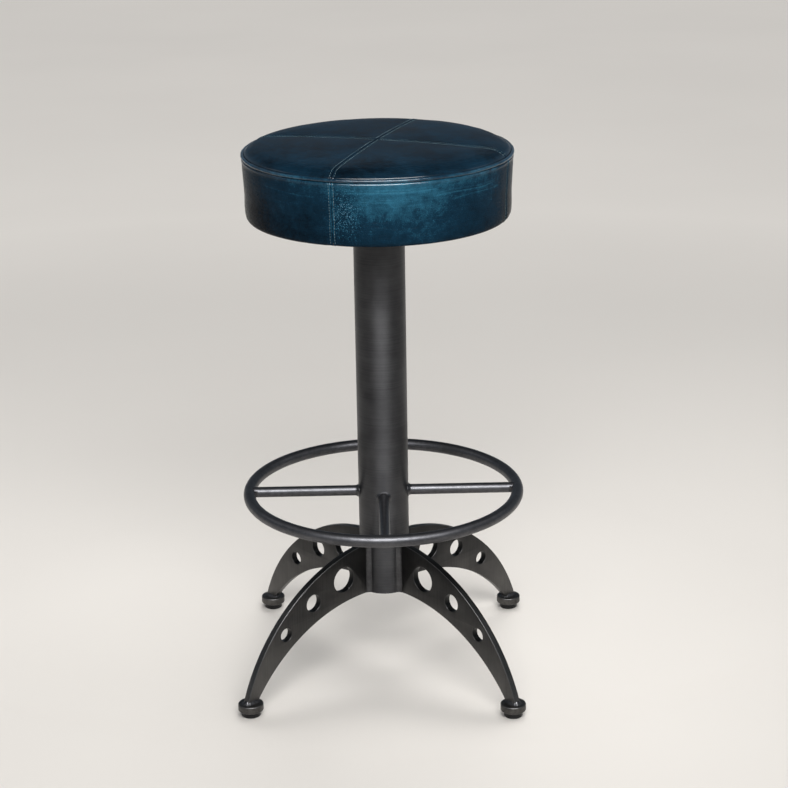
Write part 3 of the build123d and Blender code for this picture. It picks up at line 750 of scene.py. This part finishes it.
hand_dye, read, fill = group("hand_dye", {"Rub and light": 0.5, "Seam": 0.0}, ["Tone"])
dye = math(hand_dye, "MULTIPLY", noise(hand_dye, 13.0, 6.0, 0.6), BIG_DYE)
dye = math(hand_dye, "MULTIPLY_ADD", noise(hand_dye, 95.0, 5.0, 0.7), SMALL_DYE, dye)
dye = math(hand_dye, "SUBTRACT", dye, (BIG_DYE + SMALL_DYE) / 2)
tone = math(hand_dye, "MULTIPLY_ADD", read["Seam"], -0.4, math(hand_dye, "ADD", dye, read["Rub and light"]))
hand_dye.links.new(tone, fill["Tone"])


def leather(name, grain_depth, gloss, shine, **plain):
    """Dyed and waxed leather: a tone from near black to teal, pebble grain and a thin coat of wax.
    The wax follows the polish kept on the piece, unless its coat weight is the same all over."""
    material, tree, shader = finish(name, coat_roughness=0.14, specular_ior_level=shine, **plain)
    grain = use(tree, leather_grain)
    tone = use(tree, hand_dye, {"Rub and light": kept(tree, "rub"), "Seam": kept(tree, "seam")})["Tone"]
    tone = math(tree, "MULTIPLY_ADD", grain["Lines"], 0.05, tone)
    # Raised grain is lighter. Beside the front seam, where the grain is coarse, this and the pale tops below
    # are painted glints.
    raised = math(tree, "MULTIPLY", grain["Grain"], math(tree, "ADD", kept(tree, "pebbled"), 0.35))
    tone = math(tree, "MULTIPLY_ADD", raised, 0.5, tone)
    # Painted glints: the highest tops of the grain are painted pale.
    worn = math(tree, "MULTIPLY_ADD", remap(tree, raised, GLINT_START, GLINT_FULL), 0.5, tone)
    levels = [level / GLINT_TONE for level in (0.0, DEEP_TONE, TEAL_TONE, GLINT_TONE)]
    stops = zip(levels, (BLACK, DEEP, TEAL, GLINT_PALE))
    colour = ramp(tree, math(tree, "DIVIDE", worn, GLINT_TONE), *stops)
    feed(shader, base_color=colour, roughness=remap(tree, tone, low=gloss - 0.05, high=gloss + 0.08))
    if "coat_weight" not in plain:
        feed(shader, coat_weight=kept(tree, "polish"))
    bumped(tree, shader, math(tree, "MULTIPLY_ADD", grain["Lines"], -0.3, raised), grain_depth)
    return material


crown_leather = leather("crown_leather", 0.00030, 0.34, 0.05)
band_leather = leather("band_leather", 0.00065, 0.22, 0.012)
piping_leather = leather("cord_leather", 0.00010, 0.30, 0.03, coat_weight=0.8)
LIT_FACING = -78
GROOVE = 0.5 * MM

crown_r = np.hypot(crown[..., 0], crown[..., 1])
crown_rub = 0.13 + 0.10 * bell(crown_r - rim_r, 5 * MM) + 0.15 * bell(crown_seam, 2.0 * MM)
crown_polish = 0.8 * bell(crown_r - rim_r, 2.5 * MM)
crown_grain = 0.15 + 0 * crown_rub
crown_seams = bell(crown_seam, GROOVE)
crown_looks = {"rub": crown_rub, "seam": crown_seams, "pebbled": crown_grain, "polish": crown_polish}
crown_piece = piece("seat_crown", crown, caps=("start",), **crown_looks)

upper = np.clip((height - seat_bottom) / (cord_z - seat_bottom), 0, 1)
# Painted light: the side of the band that faces the lamps in front is painted lighter.
rubbed_side = np.cos(facing - radians(LIT_FACING))
front = np.where(rubbed_side > 0, 1.0, 0.75) * rubbed_side**2
band_rub = -0.14 + 0.42 * upper + 0.50 * front + 0.25 * bell(band_seam, 2.2 * MM)
band_rub = band_rub + 0.45 * np.abs(creases) / MM
band_polish = 0.03 + 0.9 * bell(height - cord_z + 3.5 * MM, 2.0 * MM)
front_seam = (np.degrees(facing) - (SEAT_TURN - 90) + 180) % 360 - 180
# Painted glints: beside the front seam, halfway up the band, the grain is coarse and its tops are painted
# pale.
pebbled = bell(front_seam - 5.5, 4.5) * bell(upper - 0.48, 0.27)
band_grain_and_glints = 0.2 + 0.9 * pebbled
band_seams = bell(band_seam, GROOVE)
band_looks = {"rub": band_rub, "seam": band_seams, "pebbled": band_grain_and_glints, "polish": band_polish}
band_piece = piece("seat_band", band, **band_looks)

top_panels = [f"top_panel_{name}" for name in DIAGONALS]
side_panels = [f"side_panel_{name}" for name in DIAGONALS]
place_piece(crown_piece, crown_leather, "leather", "seat", *top_panels, "seat_foam")
place_piece(band_piece, band_leather, "leather", "seat", *side_panels)
print("faces of the cover:", len(crown_piece.data.polygons), len(band_piece.data.polygons))

# %% [markdown]
# The piping is a cord in a folded strip of the same leather. A plain ring would do from far off.
# Close up the strip puckers a little where it is sewn, so the cord's girth wavers as it goes round.

# %% Piping
waver = np.random.default_rng(7).uniform(0, 2 * np.pi, (2, 6))
round_seat = np.linspace(0, 2 * np.pi, 720, endpoint=False)
round_cord = np.linspace(0, 2 * np.pi, 18, endpoint=False)[:, None]


def tides(counts, phases):
    """Waves added up round the seat, each with its count and its own phase."""
    return sum(np.sin(n * round_seat + phase) for n, phase in zip(counts, phases))


girth = cord_r + 0.05 * MM * tides((11, 23, 37, 61, 97, 140), waver[0])
lift = 0.12 * MM * tides((3, 5, 8, 13), waver[1])
cord_reach = core_r + girth * np.cos(round_cord)
cord_height = cord_z + lift - girth * np.sin(round_cord)
cord = np.stack([cord_reach * np.cos(round_seat), cord_reach * np.sin(round_seat), cord_height], -1)
cord = np.concatenate([cord, cord[:1]])
cord_rub = 0.35 + 0.25 * np.cos(round_cord) + 0 * cord[:-1, :, 0]
cord_rub = np.concatenate([cord_rub, cord_rub[:1]])
level = np.ones_like(cord_rub)
piping = piece("piping_cord", cord, rub=cord_rub, seam=0 * level, pebbled=0.1 * level)
place_piece(piping, piping_leather, "piping_leather", "seat", "seat_piping")
print_range("thickness of the piping", 2 * girth)

# %% [markdown]
# Topstitching is what makes a seam look sewn. It could be painted on, but real stitches catch the
# light: each is a short arched bead of thread, and one array holds the beads of all the rows.

# %% Topstitching
STITCH_PITCH = 4.0 * MM
STITCH_LENGTH = 2.7 * MM
THREAD_RADIUS = 0.30 * MM
STITCH_RISE, STITCH_SINK = 0.26 * MM, 0.45 * MM
STITCHED_ROWS = 90


def between(field, row, column):
    """Values of a closed grid between its points, mixed from the four nearest."""
    low, left = np.floor(row).astype(int), np.floor(column).astype(int)
    low = np.clip(low, 0, field.shape[0] - 2)
    down, across = (row - low)[..., None], (column - left)[..., None]
    left, right = left % field.shape[1], (left + 1) % field.shape[1]
    upper_mix = field[low, left] * (1 - across) + field[low, right] * across
    lower_mix = field[low + 1, left] * (1 - across) + field[low + 1, right] * across
    return upper_mix * (1 - down) + lower_mix * down


def column_at(angle):
    """The place of an angle among the columns of the seat."""
    turn = (angle - columns[0]) % (2 * np.pi)
    return np.interp(turn, np.append(columns - columns[0], 2 * np.pi), np.arange(len(columns) + 1))


side = np.array([-1, 1])[None, :, None]
which = seams[:, None, None]


def crown_row(along, field):
    """A field of the crown along each row of stitches, at distances from the middle of the seat."""
    angle = which + side * np.arctan2(STITCH_ROW, along)
    row = np.interp(np.hypot(along, STITCH_ROW), crown_line[:-2, 0], np.arange(len(crown_line) - 2))
    return between(field, row, column_at(angle))


def band_row(level, field):
    """A field of the band along each row of stitches, at heights."""
    row = np.interp(-level, -band_line[:STITCHED_ROWS, 1], np.arange(STITCHED_ROWS))
    return between(field, row, column_at(which + side * STITCH_ROW / core_r + 0 * level))


along = np.arange(7 * MM, rim_r - 1.5 * MM, STITCH_PITCH)[None, None, :]
level = np.arange(cord_z - 5 * MM, seat_bottom + 4 * MM, -STITCH_PITCH)[None, None, :]
step = STITCH_PITCH / 4
rows = [
    (crown_row(along, crown), crown_row(along + step, crown), crown_row(along, outward(crown_base))),
    (band_row(level, band), band_row(level - step, band), band_row(level, outward(band_base))),
]
middles, nexts, above = (np.concatenate([field.reshape(-1, 3) for field in kind]) for kind in zip(*rows))
ahead = nexts - middles
ahead /= np.linalg.norm(ahead, axis=-1, keepdims=True)
above /= np.linalg.norm(above, axis=-1, keepdims=True)
beside = np.cross(above, ahead)

length = np.linspace(-1, 1, 5)[:, None]
around = np.linspace(0, 2 * np.pi, 6, endpoint=False)
thick = THREAD_RADIUS * np.sqrt(1 - 0.75 * length**2)
bead_x = length * STITCH_LENGTH / 2 + 0 * around
bead_y = thick * np.cos(around)
bead_z = STITCH_RISE - STITCH_SINK * length**2 + thick * np.sin(around)
thread = middles[:, None, None] + sum(
    bead[..., None] * direction[:, None, None]
    for bead, direction in ((bead_x, ahead), (bead_y, beside), (bead_z, above))
)
stitching = piece("seat_stitching", thread, caps=("start", "end"))

thread_finish, tree, shader = finish("seat_thread", roughness=0.55)
twist = noise(tree, 500.0)
thread_colour = ramp(tree, twist, (0.35, (0.04, 0.08, 0.09)), (0.65, (0.16, 0.24, 0.265)))
feed(shader, base_color=thread_colour)
bumped(tree, shader, twist, 0.0002)
stitching.data.materials.append(thread_finish)
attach(stitching, "seat")
print("stitches:", len(middles))

# %% [markdown]
# Each leg is a plate cut from sheet steel between two arcs, with three holes that shrink towards
# the foot. A flat filled curve makes such a plate in one go: its outline and its holes are splines,
# its thickness is an extrusion, and a small bevel rounds the corners that hands and shoes rub bright.

# %% Leg plates
LEG_THICKNESS = 10.0 * MM
LEG_BEVEL = 0.8 * MM
LEG_TOP = 198.3 * MM
ROOT_LAP = 0.4 * MM
TIP_INNER, TIP_OUTER = 254.0 * MM, 273.0 * MM
UPPER_RADIUS, LOWER_RADIUS = 262.3 * MM, 251.1 * MM
LEG_HOLES = ((49.0 * MM, 38.0 * MM), (108.0 * MM, 26.0 * MM), (161.0 * MM, 20.0 * MM))

column_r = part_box("column_tube")[1].x
column_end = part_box("column_tube")[0].z
collar_bottom, collar_top = (corner.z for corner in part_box("foot_collar_back_right"))
foot_r = (TIP_INNER + TIP_OUTER) / 2


def falling_arc(start, end, radius, count):
    """Points along an arc that falls from start to end. Its centre is half the chord, then square to it."""
    start, end = np.array(start), np.array(end)
    chord = end - start
    reach = np.sqrt(radius**2 / (chord @ chord) - 0.25)
    centre = (start + end) / 2 + reach * np.array([chord[1], -chord[0]])
    first, last = (np.degrees(np.arctan2(*(place - centre)[::-1])) for place in (start, end))
    return arc(centre, radius, first, last, count)


def flat_plate(name, outlines, thickness, bevel):
    """A mesh from closed outlines: the first is the edge, the others are holes. An attribute named
    edge is 1 along the middle of each rounded corner."""
    curve = bpy.data.curves.new(name, "CURVE")
    curve.dimensions = "2D"
    curve.fill_mode = "BOTH"
    curve.extrude = thickness / 2 - bevel
    curve.bevel_depth = bevel
    curve.bevel_resolution = 2
    curve.offset = -bevel
    for outline in outlines:
        spline = curve.splines.new("POLY")
        spline.points.add(len(outline) - 1)
        places = np.pad(outline, ((0, 0), (0, 2)))
        places[:, 3] = 1
        spline.points.foreach_set("co", places.reshape(-1))
        spline.use_cyclic_u = True
    shape = shown(name, curve)
    mesh = settled(shape)
    bpy.data.objects.remove(shape)
    shell = bmesh.new()
    shell.from_mesh(mesh)
    bmesh.ops.remove_doubles(shell, verts=shell.verts, dist=0.02 * MM)
    bmesh.ops.recalc_face_normals(shell, faces=shell.faces)
    shell.to_mesh(mesh)
    shell.free()
    mesh.shade_smooth()
    mesh.set_sharp_from_angle(angle=radians(20))
    depth = np.clip((np.abs(vertices(mesh)[:, 2]) - thickness / 2 + bevel) / bevel, 0, 1)
    keep(mesh, "edge", 4 * depth * (1 - depth))
    return mesh


def hole_walls(points):
    """1 on the walls of the holes, which keep their dark scale, and 0 elsewhere on a plate."""
    beside = [np.hypot(points[:, 0] - x, points[:, 1] - y) - radius for x, y, radius in hole_places]
    return np.clip(1 - np.min(np.abs(beside), axis=0) / (0.5 * MM), 0, 1)


root_top, root_bottom = (column_r, LEG_TOP), (column_r, column_end)
tip_top, tip_bottom = (TIP_OUTER, collar_top), (TIP_INNER, collar_top)
upper_edge = falling_arc(root_top, tip_top, UPPER_RADIUS, 160)
lower_edge = falling_arc(root_bottom, tip_bottom, LOWER_RADIUS, 160)
root = np.array([(column_r - ROOT_LAP, column_end), (column_r - ROOT_LAP, LEG_TOP)])
leg_outlines = [np.concatenate([upper_edge, lower_edge[::-1], root])]
hole_places = []
for distance, diameter in LEG_HOLES:
    hole_r = column_r + distance
    edges = [np.interp(hole_r, edge[:, 0], edge[:, 1]) for edge in (upper_edge, lower_edge)]
    hole_places.append((hole_r, sum(edges) / 2, diameter / 2))
    leg_outlines.append(arc(hole_places[-1][:2], diameter / 2, 0, 360, 97)[:-1])

for name, turn in DIAGONALS.items():
    leg_mesh = flat_plate(f"leg_plate_{name}", leg_outlines, LEG_THICKNESS, LEG_BEVEL)
    flat = vertices(leg_mesh)
    keep(leg_mesh, "scaled", hole_walls(flat))
    upright = about_axis(np.stack([flat[:, 0], -flat[:, 2], flat[:, 1]], -1), turn)
    leg_mesh.vertices.foreach_set("co", upright.astype(np.float32).reshape(-1))
    leg_mesh.update()
    leg_plate = shown(leg_mesh.name, leg_mesh)
    place_piece(leg_plate, plate_steel, "plate_steel", "base", f"leg_{name}")
print("leg plate: faces", len(leg_mesh.polygons), "reach in mm", round(1000 * flat[:, 0].max(), 2))

# %% [markdown]
# A foot is a turned steel collar welded under the tip of the leg, and a black moulded pad that
# screws in and out of it. Collar and pad are profiles turned about the foot's own axis, and the weld
# is a bead that runs round the tip. The collar's corners are rounded and carry the same edge value
# as the plates, so that they wear in the same way.

# %% Feet
COLLAR_RADIUS = 18.0 * MM
COLLAR_ROUND = 1.9 * MM
STUD_RADIUS = 5.0 * MM
PAD_RADIUS = 13.6 * MM
PAD_ROUND = 1.5 * MM
WELD_WIDTH = 5.5 * MM
WELD_HEIGHT = 5.0 * MM
WELD_POWER = 0.7
WELD_RIPPLE = 0.25 * MM
TIP_WIDTH = TIP_OUTER - TIP_INNER

round_foot = np.linspace(0, 2 * np.pi, 96, endpoint=False)


def at_foot(points, turn):
    """Points about the axis carried out to a foot."""
    return about_axis(points + np.array([foot_r, 0, 0]), turn)


upper_round = arc((COLLAR_RADIUS - COLLAR_ROUND, collar_top - COLLAR_ROUND), COLLAR_ROUND, 90, 0, 9)
lower_round = arc((COLLAR_RADIUS - COLLAR_ROUND, collar_bottom + COLLAR_ROUND), COLLAR_ROUND, 0, -90, 9)
collar_bore = np.array([(STUD_RADIUS, collar_top), (STUD_RADIUS, collar_bottom)])
collar_line = np.concatenate([collar_bore[:1], upper_round, lower_round, collar_bore[1:], collar_bore[:1]])
round_edge = np.sin(np.linspace(0, np.pi, 9))
collar_edge = 0.4 * np.concatenate([[0], round_edge, round_edge, [0, 0]])

pad_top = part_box("leveller_pad_back_right")[1].z
pad_foot = arc((PAD_RADIUS - PAD_ROUND, PAD_ROUND), PAD_ROUND, -90, 0, 8)
pad_head = arc((PAD_RADIUS - PAD_ROUND - 0.8 * MM, pad_top - PAD_ROUND), PAD_ROUND, 0, 90, 8)
pad_line = np.concatenate([[(1 * MM, 0)], pad_foot, pad_head, [(STUD_RADIUS, pad_top)]])

pad_plastic, tree, shader = finish("moulded_pad", specular_ior_level=0.3)
scuffs = noise(tree, 260.0, 5.0)
pad_tone = ramp(tree, scuffs, (0.35, (0.003, 0.003, 0.0033)), (0.75, (0.010, 0.010, 0.010)))
feed(shader, base_color=pad_tone, roughness=remap(tree, scuffs, low=0.22, high=0.5))
bumped(tree, shader, scuffs, 0.00006)

weld_step = np.linspace(0, 1, 14)[:, None]
weld_out = WELD_WIDTH * weld_step - 0.6 * MM
weld_ripple = WELD_RIPPLE * np.sin(17 * round_foot) * np.sin(np.pi * weld_step)
across, along = np.cos(round_foot), np.sin(round_foot)
weld_x = (TIP_WIDTH / 2 + weld_out) * np.sign(across) * np.abs(across) ** WELD_POWER
weld_y = (LEG_THICKNESS / 2 + weld_out) * np.sign(along) * np.abs(along) ** WELD_POWER
weld_z = collar_top - 0.3 * MM + WELD_HEIGHT * (1 - weld_step) ** 1.4 + weld_ripple
foot_mound = np.stack([weld_x, weld_y, weld_z], -1)
mounds = piece("foot_weld_mounds", np.stack([at_foot(foot_mound, turn) for turn in DIAGONALS.values()]))
place_piece(mounds, weld_steel, "weld_steel", "base", "foot_welds")

for name, turn in DIAGONALS.items():
    worn = np.broadcast_to(collar_edge[:, None], (len(collar_line), len(round_foot)))
    collar = piece(f"collar_{name}", at_foot(turned(collar_line, round_foot), turn), edge=worn)
    place_piece(collar, collar_steel, "collar_steel", "base", f"foot_collar_{name}")
    pad_points = turned(pad_line[::-1], round_foot)
    pad = piece(f"pad_{name}", at_foot(pad_points, turn), caps=("end",))
    place_piece(pad, pad_plastic, "pad_plastic", f"leveller_{name}", f"leveller_pad_{name}")
print("feet:", len(DIAGONALS), "collar height in mm", round(1000 * (collar_top - collar_bottom), 2))

# %% [markdown]
# Under the seat a sheet of black cloth hides the board. It is stapled over the hem of the leather
# all round, so it puckers at the staples and hangs a hair lower between them. That much needs no
# simulation: it is a disc with a hole for the pivot, given a wave that fades towards the middle.

# %% Dust cover
STAPLES = 32
CLOTH_LAP = 11.0 * MM
CLOTH_THICKNESS = 0.6 * MM
CLOTH_SAG = 0.25 * MM

hem_end = band_line[-1, 0]
cover_low, cover_high = (corner.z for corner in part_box("dust_cover"))
over_board = np.linspace(14 * MM, hem_end - 6 * MM, 40)
over_hem = np.linspace(hem_end - 5 * MM, hem_end + CLOTH_LAP, 18)
cloth_r = np.concatenate([over_board, over_hem])[::-1, None]
round_cloth = np.linspace(0, 2 * np.pi, 384, endpoint=False)
stapled = np.cos(STAPLES * (round_cloth - radians(SEAT_TURN)))
under_hem = 1 / (1 + np.exp(-(cloth_r - hem_end + 2.2 * MM) / (0.7 * MM)))
step_down = cover_high - cover_low - CLOTH_THICKNESS
cloth_z = cover_high - CLOTH_THICKNESS - under_hem * step_down
sag = CLOTH_SAG * (1 - stapled) / 2 * bell(cloth_r - hem_end - CLOTH_LAP / 2, 7 * MM)
cloth_x, cloth_y = cloth_r * np.cos(round_cloth), cloth_r * np.sin(round_cloth)
cloth = piece("dust_cloth", np.stack([cloth_x, cloth_y, cloth_z - sag], -1)[::-1])
thick = cloth.modifiers.new("cloth", "SOLIDIFY")
thick.thickness = CLOTH_THICKNESS
thick.offset = -1

dust_cloth, tree, shader = finish("dust_cloth_black", roughness=0.9, sheen_weight=0.15)
fibre = noise(tree, 1.0, place=stretched(tree, (900.0, 1400.0, 400.0)))
felt = ramp(tree, fibre, (0.3, (0.006, 0.006, 0.007)), (0.7, (0.022, 0.022, 0.024)))
feed(shader, base_color=felt)
bumped(tree, shader, fibre, 0.0002)
place_piece(cloth, dust_cloth, "dust_cloth", "seat", "dust_cover")

# %% [markdown]
# The swivel, its fasteners and the board are only seen from below. Their solids are right, so they
# keep them: bright zinc for the fasteners, oiled steel for the bearing, and birch plies for the board.

# %% Finishes under the seat
zinc_steel, tree, shader = finish("zinc_plate", metallic=1.0)
spangle = put(tree, "TexVoronoi", {"Vector": object_place(tree), "Scale": 700.0}).outputs["Color"]
zinc_tone = ramp(tree, spangle, (0.2, (0.36, 0.37, 0.38)), (0.8, (0.50, 0.50, 0.49)))
feed(shader, base_color=zinc_tone, roughness=remap(tree, spangle, low=0.30, high=0.42))
dress(zinc_steel, "seat_bolts", "seat_washers", "seat_tee_nuts", "swivel_screws", "cover_staples")
dress(zinc_steel, *[f"leveller_stud_{name}" for name in DIAGONALS])

bearing_steel = steel("oiled_steel", loose_marks, (0.16, 0.16, 0.165), (0.26, 0.26, 0.26), 0.32)
bearing = [f"swivel_{piece}" for piece in ("lower_plate", "upper_plate", "balls", "ball_cage", "pivot")]
dress(bearing_steel, *bearing)

plywood, tree, shader = finish("birch_plywood", roughness=0.6)
layers = {"Vector": object_place(tree), "Scale": 110.0}
plies = put(tree, "TexWave", layers, bands_direction="Z").outputs["Fac"]
figure = noise(tree, 1.0, place=stretched(tree, (12.0, 180.0, 60.0)))
wood = math(tree, "MULTIPLY_ADD", plies, 0.4, math(tree, "MULTIPLY", figure, 0.6))
birch = ramp(tree, wood, (0.2, (0.30, 0.19, 0.10)), (0.8, (0.55, 0.40, 0.24)))
feed(shader, base_color=birch)
bumped(tree, shader, wood, 0.0001)
dress(plywood, "seat_board")
print("finishes:", len(bpy.data.materials))
